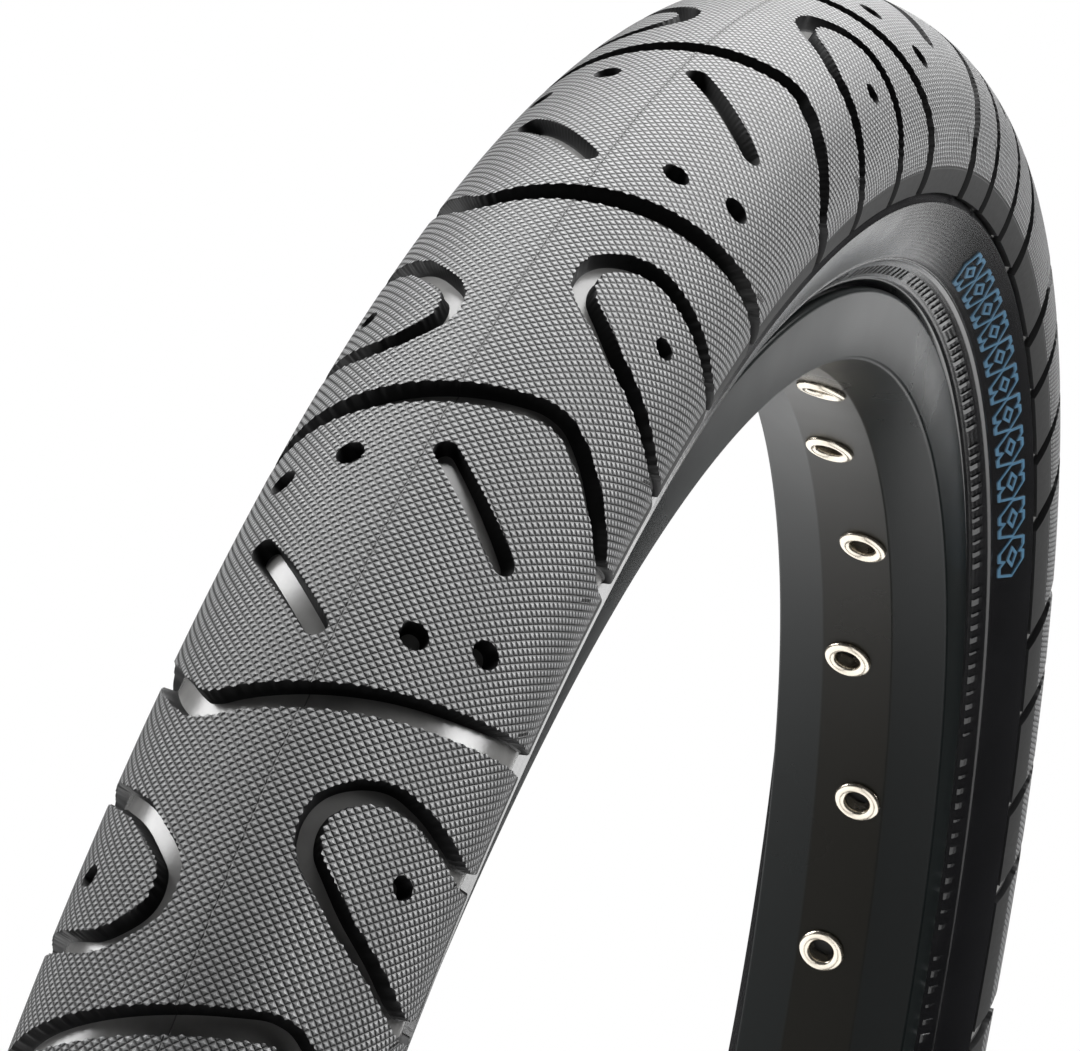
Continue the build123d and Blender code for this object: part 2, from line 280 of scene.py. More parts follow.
def half_turn(groove):
    """The same groove after half a turn about the pattern's centre."""
    rings = [([-side for side in sides], share) for sides, share in groove["rings"]]
    return {"open": groove["open"], "rings": rings}


def shifted(groove, du):
    """The same groove moved round the tyre."""
    rings = [
        ([side + np.array([du, 0]) for side in sides], share)
        for sides, share in groove["rings"]
    ]
    return {"open": groove["open"], "rings": rings}


def pitch_grooves():
    """Every groove of the pitch that starts at the pattern's centre."""
    channel = open_groove(CHANNEL, CHANNEL_WIDTH)
    loop = open_groove(LOOP, LOOP_WIDTH)
    slot = closed_groove(smooth_line(flat(SLOT)), SLOT_WIDTH)
    first = [channel, loop, slot]
    for degrees, v, radius in DIMPLES:
        spot = np.array([[degrees * PER_DEG, v]])
        first.append(closed_groove(spot, 2 * radius))
    grooves = []
    for groove in first + [half_turn(g) for g in first]:
        middle = np.vstack(groove["rings"][0][0])[:, 0].mean()
        grooves.append(shifted(groove, -math.floor(middle / PITCH) * PITCH))
    return grooves


def inside(points, outline):
    """Which points lie inside a closed outline."""
    x, y = points[:, 0][:, None], points[:, 1][:, None]
    x0, y0 = outline[:, 0][None], outline[:, 1][None]
    x1, y1 = np.roll(outline[:, 0], -1)[None], np.roll(outline[:, 1], -1)[None]
    crosses = (y0 > y) != (y1 > y)
    rise = np.where(y1 == y0, 1e-9, y1 - y0)
    return (crosses & (x < x0 + (y - y0) / rise * (x1 - x0))).sum(1) % 2 == 1


def outline_of(groove, level):
    """A groove's outline at one step of its wall, as a closed loop."""
    sides = groove["rings"][level][0]
    return np.vstack([sides[0], sides[1][::-1]]) if groove["open"] else sides[0]


def clear_of(points, outline, gap):
    """Which points are at least a gap away from an outline's points."""
    away = np.ones(len(points), bool)
    for start in range(0, len(points), 400):
        part = points[start : start + 400]
        far = np.hypot(*(part[:, None] - outline[None]).transpose(2, 0, 1))
        away[start : start + 400] = far.min(1) > gap
    return away


def triangles(points, edges):
    """Constrained Delaunay triangles of flat points, and the points they use."""
    flat_points = [Vector(p) for p in points]
    found = delaunay_2d_cdt(flat_points, edges, [], 0, 1e-5)
    return np.array([tuple(p) for p in found[0]]), np.array(found[2])


def loop_edges(start, count, closed=True):
    """Edges that join a run of points."""
    last = count if closed else count - 1
    return [(start + i, start + (i + 1) % count) for i in range(last)]


class Pattern:
    """Flat mesh of one pitch: points (u, v, depth) and faces with a material index."""

    def __init__(self):
        self.points, self.faces, self.kinds = [], [], []

    def add(self, points, faces, kind):
        start = sum(len(p) for p in self.points)
        self.points.append(np.asarray(points, float))
        self.faces += [tuple(int(i) + start for i in face) for face in faces]
        self.kinds += [kind] * len(faces)


LAND, WALL, FLOOR = 0, 1, 2
EDGE_STEP = 1.5
SEAM_POINTS = 61
GRID_COLUMNS, GRID_ROWS = 72, 58
GRID_MARGIN = 1.2
GRID_GAP = 0.75


def build_land(pattern, grooves):
    """The tread's outer surface between the grooves."""
    outlines = [outline_of(groove, 0) for groove in grooves]
    mouths = []
    for groove in grooves:
        if groove["open"]:
            for side in groove["rings"][0][0]:
                mouths += [side[0], side[-1]]
    mouths = np.array(mouths)
    points, edges = [], []
    for sign in (-1, 1):
        here = mouths[np.sign(mouths[:, 1]) == sign][:, 0]
        cuts = np.sort(np.concatenate([[0, PITCH], here]))
        run = []
        for a, b in zip(cuts[:-1], cuts[1:]):
            run += list(np.linspace(a, b, max(int((b - a) / EDGE_STEP), 1), endpoint=False))
        run.append(PITCH)
        start = len(points)
        points += [(u, sign * EDGE) for u in run]
        edges += loop_edges(start, len(run), closed=False)
    rows = np.linspace(-EDGE, EDGE, SEAM_POINTS)
    for u in (0.0, PITCH):
        start = len(points)
        points += [(u, v) for v in rows]
        edges += loop_edges(start, len(rows), closed=False)
    for groove in grooves:
        for side in groove["rings"][0][0]:
            start = len(points)
            points += [tuple(p) for p in side]
            edges += loop_edges(start, len(side), closed=not groove["open"])
    grid_u = np.arange(1, GRID_COLUMNS) * PITCH / GRID_COLUMNS
    grid_v = np.linspace(-EDGE + GRID_MARGIN, EDGE - GRID_MARGIN, GRID_ROWS)
    grid = np.stack(np.meshgrid(grid_u, grid_v), -1).reshape(-1, 2)
    for outline in outlines:
        grid = grid[~inside(grid, outline) & clear_of(grid, outline, GRID_GAP)]
    points += [tuple(p) for p in grid]
    flat_points, faces = triangles(points, edges)
    centres = flat_points[faces].mean(1)
    keep = np.ones(len(faces), bool)
    for outline in outlines:
        keep &= ~inside(centres, outline)
    depth = np.zeros((len(flat_points), 1))
    pattern.add(np.hstack([flat_points, depth]), faces[keep], LAND)


def build_groove(pattern, groove):
    """A groove's walls and floor."""
    rings = groove["rings"]
    levels = []
    for sides, share in rings:
        loops = []
        for side in sides:
            depth = share * groove_depth(side[:, 1])
            loops.append(np.column_stack([side, depth]))
        levels.append(loops)
    for upper, lower in zip(levels[:-1], levels[1:]):
        for k, (top, bottom) in enumerate(zip(upper, lower)):
            count = len(top)
            spans = count - 1 if groove["open"] else count
            faces = []
            for i in range(spans):
                j = (i + 1) % count
                quad = (i, j, count + j, count + i)
                faces.append(quad if k == 0 else quad[::-1])
            pattern.add(np.vstack([top, bottom]), faces, WALL)
    outline = outline_of(groove, -1)
    middle = []
    if groove["open"]:
        left, right = rings[-1][0]
        middle = [tuple(p) for p in (left + right)[2:-2:2] / 2]
        mouth = [tuple((left[e] + right[e]) / 2) for e in (0, -1)]
        middle += mouth
    else:
        middle = [tuple(outline.mean(0))] if len(outline) < 30 else []
    points = [tuple(p) for p in outline] + middle
    flat_points, faces = triangles(points, loop_edges(0, len(outline)))
    keep = inside(flat_points[faces].mean(1), outline)
    depth = groove_depth(flat_points[:, 1])[:, None]
    pattern.add(np.hstack([flat_points, depth]), faces[keep], FLOOR)


def build_edge(pattern, grooves):
    """The blocks' side faces, down to the sidewall, with the grooves' mouths left open."""
    for sign in (-1, 1):
        notches = []
        for groove in grooves:
            if not groove["open"]:
                continue
            for end in (0, -1):
                if np.sign(groove["rings"][0][0][0][end, 1]) != sign:
                    continue
                sides = []
                for k in (0, 1):
                    sides.append([(r[0][k][end, 0], r[1] * EDGE_DEPTH) for r in groove["rings"]])
                sides.sort(key=lambda side: side[0][0])
                notches.append(sides)
        notches.sort(key=lambda sides: sides[0][0][0])
        count = len(notches)
        for i in range(count):
            right_wall = notches[i][1]
            left_wall = list(notches[(i + 1) % count][0])
            shift = PITCH if i == count - 1 else 0
            left_wall = [(u + shift, depth) for u, depth in left_wall]
            a, b = right_wall[0][0], left_wall[0][0]
            steps = max(int((b - a) / EDGE_STEP), 1)
            rows = []
            for (ua, depth), (ub, _) in zip(right_wall, left_wall):
                u = np.linspace(ua, ub, steps + 1)
                v = np.full_like(u, sign * EDGE)
                rows.append(np.column_stack([u, v, np.full_like(u, depth)]))
            faces = []
            for row in range(len(rows) - 1):
                for j in range(steps):
                    n = steps + 1
                    quad = (row * n + j, row * n + j + 1, (row + 1) * n + j + 1, (row + 1) * n + j)
                    faces.append(quad if sign > 0 else quad[::-1])
            pattern.add(np.vstack(rows), faces, WALL)


BLOCK_LEAN = 0.5


def build_tread():
    """The whole tread from copies of one pitch."""
    pattern = Pattern()
    grooves = pitch_grooves()
    build_land(pattern, grooves)
    for groove in grooves:
        build_groove(pattern, groove)
    build_edge(pattern, grooves)
    flat_points = np.vstack(pattern.points)
    # The blocks' side faces lean out a little towards the sidewall.
    at_edge = np.abs(flat_points[:, 1]) > EDGE - 1e-4
    flat_points[:, 1] += np.where(
        at_edge, np.sign(flat_points[:, 1]) * BLOCK_LEAN * flat_points[:, 2] / EDGE_DEPTH, 0
    )
    points, faces, kinds, uvs = [], [], [], []
    for k in range(PITCHES):
        u = flat_points[:, 0] + k * PITCH
        points.append(on_tyre(u, flat_points[:, 1], flat_points[:, 2]))
        uvs.append(np.column_stack([u, flat_points[:, 1]]))
        faces += [tuple(i + k * len(flat_points) for i in face) for face in pattern.faces]
        kinds += pattern.kinds
    points, uvs = np.vstack(points), np.vstack(uvs)
    mesh = bpy.data.meshes.new("tread_blocks")
    mesh.from_pydata((points * MM).tolist(), [], faces)
    mesh.polygons.foreach_set("material_index", kinds)
    uv_map = mesh.uv_layers.new(name="pattern_mm")
    corners = np.zeros(len(mesh.loops), np.int32)
    mesh.loops.foreach_get("vertex_index", corners)
    uv_map.data.foreach_set("uv", (uvs[corners] * MM).astype(np.float32).ravel())
    work = bmesh.new()
    work.from_mesh(mesh)
    bmesh.ops.remove_doubles(work, verts=work.verts, dist=2e-6)
    bmesh.ops.recalc_face_normals(work, faces=work.faces)
    for face in work.faces:
        face.smooth = True
    work.to_mesh(mesh)
    work.free()
    mesh.set_sharp_from_angle(angle=math.radians(34))
    piece = bpy.data.objects.new("tread_blocks", mesh)
    bpy.context.scene.collection.objects.link(piece)
    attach(piece, WHEEL)
    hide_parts("tread")
    return piece


tread = build_tread()


# ---- Camera ------------------------------------------------------------------------
# The place is in tyre radii from the wheel's centre.
CAMERA_PLACE = (-4.21777, -0.91669, 0.39205)
CAMERA_AHEAD = (0.969164, 0.239621, 0.057471)
CAMERA_UP = (-0.119101, 0.251337, 0.960544)
CAMERA_LENS = 236.3


def add_camera():
    """The photograph's viewpoint: close to the tread, looking along the wheel."""
    data = bpy.data.cameras.new("camera")
    data.lens = CAMERA_LENS
    data.sensor_width = 36.0
    data.clip_start = 0.05
    camera = bpy.data.objects.new("camera", data)
    bpy.context.scene.collection.objects.link(camera)
    place = Vector(CAMERA_PLACE) * OUTER * MM
    up = Vector(CAMERA_UP)
    back = -Vector(CAMERA_AHEAD).normalized()
    right = up.cross(back).normalized()
    up = back.cross(right)
    turn = Matrix((right, up, back)).transposed().to_4x4()
    camera.matrix_world = Matrix.Translation(place) @ turn
    bpy.context.scene.camera = camera


add_camera()


# ---- Materials ---------------------------------------------------------------------
class Surface:
    """A Principled material and short calls for the nodes that feed it."""

    def __init__(self, name, **sockets):
        self.material = bpy.data.materials.new(name)
        self.material.use_nodes = True
        self.nodes = self.material.node_tree.nodes
        self.links = self.material.node_tree.links
        self.shader = self.nodes["Principled BSDF"]
        for socket, value in sockets.items():
            self.shader.inputs[socket.replace("_", " ")].default_value = value

    def put(self, socket, value):
        if isinstance(value, bpy.types.NodeSocket):
            self.links.new(value, socket)
        else:
            socket.default_value = value

    def math(self, operation, a, b=0.0, clamp=False):
        node = self.nodes.new("ShaderNodeMath")
        node.operation = operation
        node.use_clamp = clamp
        for socket, value in zip(node.inputs, (a, b)):
            self.put(socket, value)
        return node.outputs[0]

    def ramp(self, value, low, high, to_low=0.0, to_high=1.0):
        """Smooth change from one value to another as the input goes from low to high."""
        node = self.nodes.new("ShaderNodeMapRange")
        node.interpolation_type = "SMOOTHSTEP"
        for socket, number in zip(node.inputs[:5], (value, low, high, to_low, to_high)):
            self.put(socket, number)
        return node.outputs[0]

    def noise(self, scale, detail):
        node = self.nodes.new("ShaderNodeTexNoise")
        node.inputs["Scale"].default_value = scale
        node.inputs["Detail"].default_value = detail
        self.links.new(self.place(), node.inputs["Vector"])
        return node.outputs["Fac"]

    def place(self):
        """Position on the object, in metres."""
        return self.nodes.new("ShaderNodeTexCoord").outputs["Object"]

    def split(self, vector):
        node = self.nodes.new("ShaderNodeSeparateXYZ")
        self.links.new(vector, node.inputs[0])
        return node.outputs

    def colour(self, factor, low, high):
        node = self.nodes.new("ShaderNodeMix")
        node.data_type = "RGBA"
        self.put(node.inputs["Factor"], factor)
        node.inputs[6].default_value = (*low, 1)
        node.inputs[7].default_value = (*high, 1)
        return node.outputs[2]

    def bump(self, height, distance, strength=1.0, normal=None):
        node = self.nodes.new("ShaderNodeBump")
        node.inputs["Strength"].default_value = strength
        node.inputs["Distance"].default_value = distance
        self.links.new(height, node.inputs["Height"])
        if normal:
            self.links.new(normal, node.inputs["Normal"])
        return node.outputs[0]

    def feed(self, **sockets):
        for socket, value in sockets.items():
            self.put(self.shader.inputs[socket.replace("_", " ")], value)
        return self.material


def pattern_place(surface):
    """(u, v) of the tread pattern in millimetres."""
    uv = surface.nodes.new("ShaderNodeUVMap")
    uv.uv_map = "pattern_mm"
    u, v, _ = surface.split(uv.outputs[0])
    return surface.math("MULTIPLY", u, 1000), surface.math("MULTIPLY", v, 1000)


# Knurl and vent marks, which are in the material only.
KNURL_DEPTH_M = 0.00026
# Colour level of the smooth shoulder band past the knurl: painted shade, near black.
SHOULDER_PAINTED_SHADE = 0.04
VENT_ROW = 31.0
VENTS_PER_PITCH = 4


def knurled_rubber():
    """Grey tread rubber covered with small four-sided points, and the mould's parting line, with
    painted shade in its low parts and on the smooth shoulder band.
    """
    s = Surface("tread_knurled", Roughness=0.5)
    u, v = pattern_place(s)
    waves = []
    for operation in ("ADD", "SUBTRACT"):
        along = s.math("MULTIPLY", s.math(operation, u, v), KNURL_CYCLES)
        off = s.math("ABSOLUTE", s.math("SUBTRACT", s.math("FRACT", along), 0.5))
        waves.append(s.math("MULTIPLY", off, 2))
    point = s.math("SUBTRACT", 1, s.math("MAXIMUM", *waves))
    from_crown = s.math("ABSOLUTE", v)
    knurled = s.ramp(from_crown, KNURL_EDGE, KNURL_EDGE + 0.25, 1.0, 0.0)
    height = s.math("MULTIPLY", s.math("MINIMUM", point, 0.8), knurled)
    wander = s.math("SUBTRACT", s.noise(700, 2.0), 0.5)
    seam_at = s.math("ADD", v, s.math("MULTIPLY", wander, 0.5))
    seam = s.ramp(s.math("ABSOLUTE", seam_at), 0.05, 0.17, 1.0, 0.0)
    border = s.ramp(
        s.math("ABSOLUTE", s.math("SUBTRACT", from_crown, KNURL_EDGE + 0.2)), 0.05, 0.3, 1.0, 0.0
    )
    spacing = PITCH / VENTS_PER_PITCH
    along = s.math("SUBTRACT", s.math("FRACT", s.math("DIVIDE", u, spacing)), 0.5)
    from_row = s.math("SUBTRACT", from_crown, VENT_ROW)
    aside = s.math("ADD", s.math("MULTIPLY", along, spacing), from_row)
    tick = s.math(
        "MULTIPLY",
        s.ramp(s.math("ABSOLUTE", aside), 0.25, 0.4, 1.0, 0.0),
        s.ramp(s.math("ABSOLUTE", from_row), 1.0, 1.4, 1.0, 0.0),
    )
    line = s.math("MAXIMUM", s.math("MAXIMUM", seam, tick), s.math("MULTIPLY", border, 0.6))
    height = s.math("SUBTRACT", height, s.math("MULTIPLY", line, 0.7))
    patches = s.noise(38, 4.0)
    # Painted shade: the lower the knurl, seam, vent mark or border line, the darker the rubber's
    # colour.
    valleys = s.ramp(height, 0.1, 0.76)
    cloudy = s.ramp(patches, 0.3, 0.7, 0.85, 1.0)
    # Painted shade: the smooth band past the knurl gets a near-black colour.
    shoulder = s.math("MULTIPLY", s.math("SUBTRACT", 1, knurled), SHOULDER_PAINTED_SHADE)
    banded = s.math("ADD", s.math("MULTIPLY", knurled, valleys), shoulder)
    shade = s.math("MULTIPLY", banded, cloudy, clamp=True)
    colour = s.colour(shade, (0.005, 0.005, 0.005), (0.245, 0.247, 0.25))
    grain = s.math("MULTIPLY", s.noise(900, 2.0), 0.16)
    dull = s.ramp(from_crown, KNURL_EDGE, KNURL_EDGE + 0.4, 0.38, 0.78)
    rough = s.math("ADD", dull, grain)
    return s.feed(Base_Color=colour, Roughness=rough, Normal=s.bump(height, KNURL_DEPTH_M))


def groove_rubber(name, low, high, rough, shine=0.5):
    """Smooth moulded rubber of the grooves, crossed by the mould's parting line."""
    s = Surface(name, Roughness=rough, Specular_IOR_Level=shine)
    _, v = pattern_place(s)
    mottled = s.noise(120, 4.0)
    grain = s.noise(2500, 2.0)
    seam = s.ramp(s.math("ABSOLUTE", s.math("SUBTRACT", v, 0.15)), 0.03, 0.14, 1.0, 0.0)
    rough_here = s.math("ADD", rough - 0.05, s.math("MULTIPLY", mottled, 0.1))
    height = s.math("SUBTRACT", s.math("MULTIPLY", grain, 0.1), seam)
    shade = s.math("MULTIPLY", mottled, s.math("SUBTRACT", 1, s.math("MULTIPLY", seam, 0.8)))
    normal = s.bump(height, 0.00015, 0.5)
    return s.feed(Base_Color=s.colour(shade, low, high), Roughness=rough_here, Normal=normal)


MOULD_MARK_SPACING_M = 0.0006


def axle_radius(surface, x, z):
    """Distance from the axle line, in metres."""
    squares = [surface.math("MULTIPLY", value, value) for value in (x, z)]
    return surface.math("SQRT", surface.math("ADD", *squares))


def sidewall_rubber():
    """Glossy black sidewall with fine concentric mould marks."""
    s = Surface("sidewall_black", Roughness=0.3, Specular_IOR_Level=0.5)
    x, _, z = s.split(s.place())
    radius = axle_radius(s, x, z)
    turning = s.math("SINE", s.math("MULTIPLY", radius, 2 * math.pi / MOULD_MARK_SPACING_M))
    cloud = s.noise(60, 5.0)
    rough = s.math("ADD", 0.16, s.math("MULTIPLY", cloud, 0.14))
    normal = s.bump(turning, 0.000012, 0.35)
    normal = s.bump(s.noise(1800, 3.0), 0.00004, 0.35, normal)
    colour = s.colour(cloud, (0.0025, 0.0025, 0.003), (0.006, 0.006, 0.007))
    return s.feed(Base_Color=colour, Roughness=rough, Normal=normal)


def rim_black():
    """Black anodised aluminium with fine drawing lines round the hoop."""
    s = Surface("rim_anodised", Roughness=0.35, Specular_IOR_Level=0.09)
    x, y, z = s.split(s.place())
    radius = axle_radius(s, x, z)
    across = s.math("ADD", radius, y)
    drawn = s.nodes.new("ShaderNodeTexNoise")
    drawn.noise_dimensions = "1D"
    drawn.inputs["Scale"].default_value = 5000
    s.links.new(across, drawn.inputs["W"])
    cloud = s.noise(35, 4.0)
    rough = s.math("ADD", 0.22, s.math("MULTIPLY", cloud, 0.14))
    bed = s.ramp(s.math("ABSOLUTE", y), 0.0055, 0.0067, 1.0, 0.0)
    inner = s.ramp(radius, 0.1965, 0.197, 1.0, 0.0)
    slopes = s.colour(cloud, (0.0028, 0.004, 0.004), (0.005, 0.0068, 0.0068))
    brown = s.colour(s.math("MULTIPLY", bed, inner), (0, 0, 0), (0.0045, 0.0022, 0.0))
    both = s.nodes.new("ShaderNodeVectorMath")
    s.links.new(slopes, both.inputs[0])
    s.links.new(brown, both.inputs[1])
    colour = both.outputs[0]
    normal = s.bump(drawn.outputs["Fac"], 0.00002, 0.3)
    return s.feed(Base_Color=colour, Roughness=rough, Normal=normal)


def metal(name, low, high, rough, grain=900.0):
    """Plated or turned metal with a little clouding."""
    s = Surface(name, Metallic=1.0, Roughness=rough)
    cloud = s.noise(grain, 4.0)
    rough_here = s.math("ADD", rough - 0.06, s.math("MULTIPLY", cloud, 0.14))
    normal = s.bump(s.noise(grain * 4, 2.0), 0.00001, 0.4)
    return s.feed(Base_Color=s.colour(cloud, low, high), Roughness=rough_here, Normal=normal)


def plain(name, low, high, rough, grain=1500.0, depth=0.00005):
    """Moulded rubber, fabric or plastic with fine grain."""
    s = Surface(name, Roughness=rough)
    cloud = s.noise(grain / 12, 4.0)
    rough_here = s.math("ADD", rough - 0.06, s.math("MULTIPLY", cloud, 0.14))
    normal = s.bump(s.noise(grain, 3.0), depth, 0.5)
    return s.feed(Base_Color=s.colour(cloud, low, high), Roughness=rough_here, Normal=normal)


def set_material(piece, *materials):
    piece.data.materials.clear()
    for material in materials:
        piece.data.materials.append(material)


def repaint(node, material):
    """Give a CAD node a better material without touching its mesh."""
    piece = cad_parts[node]
    if not piece.material_slots:
        piece.data.materials.append(material)
    for place in piece.material_slots:
        place.material = material


# Walls and floors are one rubber: the walls' near-black colour is painted shade, the floors' light
# grey is painted light.
painted_shade_wall_rubber = groove_rubber("groove_wall_painted_shade", (0.003, 0.003, 0.003), (0.009, 0.009, 0.01), 0.5, 0.2)
painted_light_floor_rubber = groove_rubber("groove_floor_painted_light", (0.07, 0.07, 0.07), (0.34, 0.337, 0.328), 0.24, 0.7)
kinds = [p.material_index for p in tread.data.polygons]
set_material(tread, knurled_rubber(), painted_shade_wall_rubber, painted_light_floor_rubber)
tread.data.polygons.foreach_set("material_index", kinds)


# ---- Sidewalls ---------------------------------------------------------------------
SIDE_INSET = 8.0
SIDEWALL_STEP = 0.3
SIDEWALL_SPACING = 0.13
SIDEWALL_STEPS = 640
# Ridges round the sidewall: (radius, rise, spread).
RIDGES = [(214.4, 0.25, 0.3), (210.6, 0.25, 0.3)]


def side_height(radius):
    """Distance of the sidewall's skin from the wheel's middle plane."""
    arc = HALF_WIDTH - SIDEWALL_STEP + SIDE_INSET
    return np.sqrt(arc**2 - (MIDDLE - radius) ** 2) - SIDE_INSET


def sidewall_profile(sign):
    """(y, r) from under the tread's edge to inside the rim's flange."""
    y, r, normal = section(np.array([EDGE - 2.0, EDGE + 0.5]))
    depth = np.array([EDGE_DEPTH + 0.5, EDGE_DEPTH - 0.03])
    top = np.column_stack([y - depth * normal[:, 0], r - depth * normal[:, 1]])
    radius = np.arange(top[1, 1] - 1.5, FLANGE - 0.6, -SIDEWALL_SPACING)
    across = side_height(radius)
    for at, rise, spread in RIDGES:
        across += rise * np.exp(-(((radius - at) / spread) ** 2))
    profile = np.vstack([top, np.column_stack([across, radius])])
    profile[:, 0] *= sign
    return profile[:: -sign]


black_rubber = sidewall_rubber()
for name, sign in (("left", 1), ("right", -1)):
    profile = sidewall_profile(sign)
    piece = ring_mesh(f"sidewall_skin_{name}", profile, SIDEWALL_STEPS, closed=False)
    set_material(piece, black_rubber)
    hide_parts(f"sidewall_{name}")


# ---- Raised marks on the sidewalls -------------------------------------------------
# A row of links, each an outline round a lozenge, at two places; and a ring of short bars.
MARK_RADIUS = 218.6
MARK_RISE = 0.22
MARK_FOOT = -0.1
LINK = [(-5.2, 0), (-3.0, 2.6), (-0.9, 2.6), (0, 1.7), (0.9, 2.6), (3.0, 2.6)]
LINK += [(5.2, 0), (3.0, -2.6), (0.9, -2.6), (0, -1.7), (-0.9, -2.6), (-3.0, -2.6)]
LOZENGE = [(-2.4, 0), (0, 0.9), (2.4, 0), (0, -0.9)]
LINK_LINE, LOZENGE_LINE = 0.5, 0.4
LINK_COUNT = 11
LINK_SPACING = 10.9
ORNAMENT_DEG = (71.8, 251.8)
BAR_RADIUS = 212.4
BAR_LENGTHS = [1.5, 0.9, 1.9, 1.2, 0.7, 1.6]
BAR_GAP_DEG = 0.9
BAR_HEIGHT = 1.6
BARS_PER_GROUP = 13


class SideMarks:
    """Small raised outlines and bars standing on a sidewall."""

    def __init__(self, sign):
        self.sign, self.points, self.faces = sign, [], []

    def place(self, flat_points, degrees, radius, lift):
        """Flat points (along, outward) in millimetres about a spot on the sidewall."""
        flat_points = np.asarray(flat_points, float)
        theta = math.radians(degrees) - flat_points[:, 0] / radius
        out = radius + flat_points[:, 1]
        return wheel_point(theta, self.sign * (side_height(out) + lift), out)

    def ring(self, outer, inner, degrees, radius):
        """Raised band between two closed outlines with the same number of points."""
        start, n = sum(len(p) for p in self.points), len(outer)
        rises = [(outer, MARK_FOOT), (outer, MARK_RISE), (inner, MARK_RISE), (inner, MARK_FOOT)]
        for flat_points, lift in rises:
            self.points.append(self.place(flat_points, degrees, radius, lift))
        for level in range(3):
            for i in range(n):
                j = (i + 1) % n
                a, b = start + level * n, start + (level + 1) * n
                quad = (a + i, a + j, b + j, b + i)
                self.faces.append(quad if self.sign < 0 else quad[::-1])

    def outline(self, corners, width, degrees, radius):
        """Raised line of a given width along a closed run of corners."""
        corners = np.asarray(corners, float)
        ahead = np.roll(corners, -1, 0) - corners
        ahead /= np.linalg.norm(ahead, axis=1)[:, None]
        normal = np.stack([ahead[:, 1], -ahead[:, 0]], -1)
        mitre = normal + np.roll(normal, 1, 0)
        mitre /= (mitre * normal).sum(1)[:, None]
        self.ring(corners - mitre * width / 2, corners + mitre * width / 2, degrees, radius)

    def bar(self, along, outward, degrees, radius):
        """Raised rectangle with sloped sides."""
        corners = np.array([(-1, -1), (1, -1), (1, 1), (-1, 1)]) * [along / 2, outward / 2]
        start = sum(len(p) for p in self.points)
        self.points.append(self.place(corners, degrees, radius, MARK_FOOT))
        self.points.append(self.place(corners * 0.8, degrees, radius, MARK_RISE))
        quads = [(0, 1, 5, 4), (1, 2, 6, 5), (2, 3, 7, 6), (3, 0, 4, 7), (4, 5, 6, 7)]
        for quad in quads:
            quad = tuple(start + k for k in quad)
            self.faces.append(quad if self.sign > 0 else quad[::-1])


def build_marks(name, sign, black, blue):
    """The blue links and the black bars of one sidewall."""
    ornament, bars = SideMarks(sign), SideMarks(sign)
    step = math.degrees(LINK_SPACING / MARK_RADIUS)
    for middle in ORNAMENT_DEG:
        for k in range(LINK_COUNT):
            degrees = middle + (k - (LINK_COUNT - 1) / 2) * step
            ornament.outline(LINK, LINK_LINE, degrees, MARK_RADIUS)
            ornament.outline(LOZENGE, LOZENGE_LINE, degrees, MARK_RADIUS)
    for k in range(round(360 / BAR_GAP_DEG)):
        # The last bar of each group is left out, as a gap.
        if k % BARS_PER_GROUP != BARS_PER_GROUP - 1:
            along = BAR_LENGTHS[k % len(BAR_LENGTHS)]
            bars.bar(along, BAR_HEIGHT, k * BAR_GAP_DEG, BAR_RADIUS)
    for marks, kind, material in ((ornament, "ornament", blue), (bars, "bars", black)):
        points = np.vstack(marks.points)
        piece = add_mesh(f"sidewall_{kind}_{name}", points, marks.faces, smooth=False)
        set_material(piece, material)


blue_print = plain("sidewall_blue_print", (0.05, 0.13, 0.21), (0.09, 0.2, 0.31), 0.4)
for name, sign in (("left", 1), ("right", -1)):
    build_marks(name, sign, black_rubber, blue_print)


# ---- Rim and eyelets ---------------------------------------------------------------
def rounded(corners, steps=6):
    """Outline with each (y, r, radius) corner rounded to its radius."""
    outline = []
    count = len(corners)
    for i, (y, r, radius) in enumerate(corners):
        here = np.array([y, r], float)
        if radius <= 0:
            outline.append(here)
            continue
        before = np.array(corners[i - 1][:2], float) - here
        after = np.array(corners[(i + 1) % count][:2], float) - here
        before /= np.linalg.norm(before)
        after /= np.linalg.norm(after)
        half = math.acos(np.clip(before @ after, -1, 1)) / 2
        reach = radius / math.tan(half)
        middle = here + (before + after) / np.linalg.norm(before + after) * radius / math.sin(half)
        start, end = here + before * reach - middle, here + after * reach - middle
        a0, a1 = math.atan2(start[1], start[0]), math.atan2(end[1], end[0])
        turn = (a1 - a0 + math.pi) % (2 * math.pi) - math.pi
        for k in range(steps + 1):
            a = a0 + turn * k / steps
            outline.append(middle + radius * np.array([math.cos(a), math.sin(a)]))
    return outline


RIM_STEPS = 720
FLANGE_WIDTH = 2.0
FLANGE_NECK = 1.5


def rim_profile():
    """The rim's outline from its middle, without its closed side chambers."""
    half = [
        (BED_HALF, BED, 1.5),
        (RIM_HALF, SIDE_INNER, 0.8),
        (RIM_HALF, FLANGE, 0.8),
        (RIM_HALF - FLANGE_WIDTH, FLANGE, 0.8),
        (RIM_HALF - FLANGE_WIDTH, FLANGE - 1.1, 0.3),
        (RIM_HALF - FLANGE_NECK, FLANGE - 1.9, 0.3),
        (RIM_HALF - FLANGE_NECK, SEAT, 0.6),
        (SEAT_INNER, SEAT, 0.5),
        (WELL_HALF, WELL, 0.6),
    ]
    other = [(-y, r, radius) for y, r, radius in reversed(half)]
    return rounded(half + other)


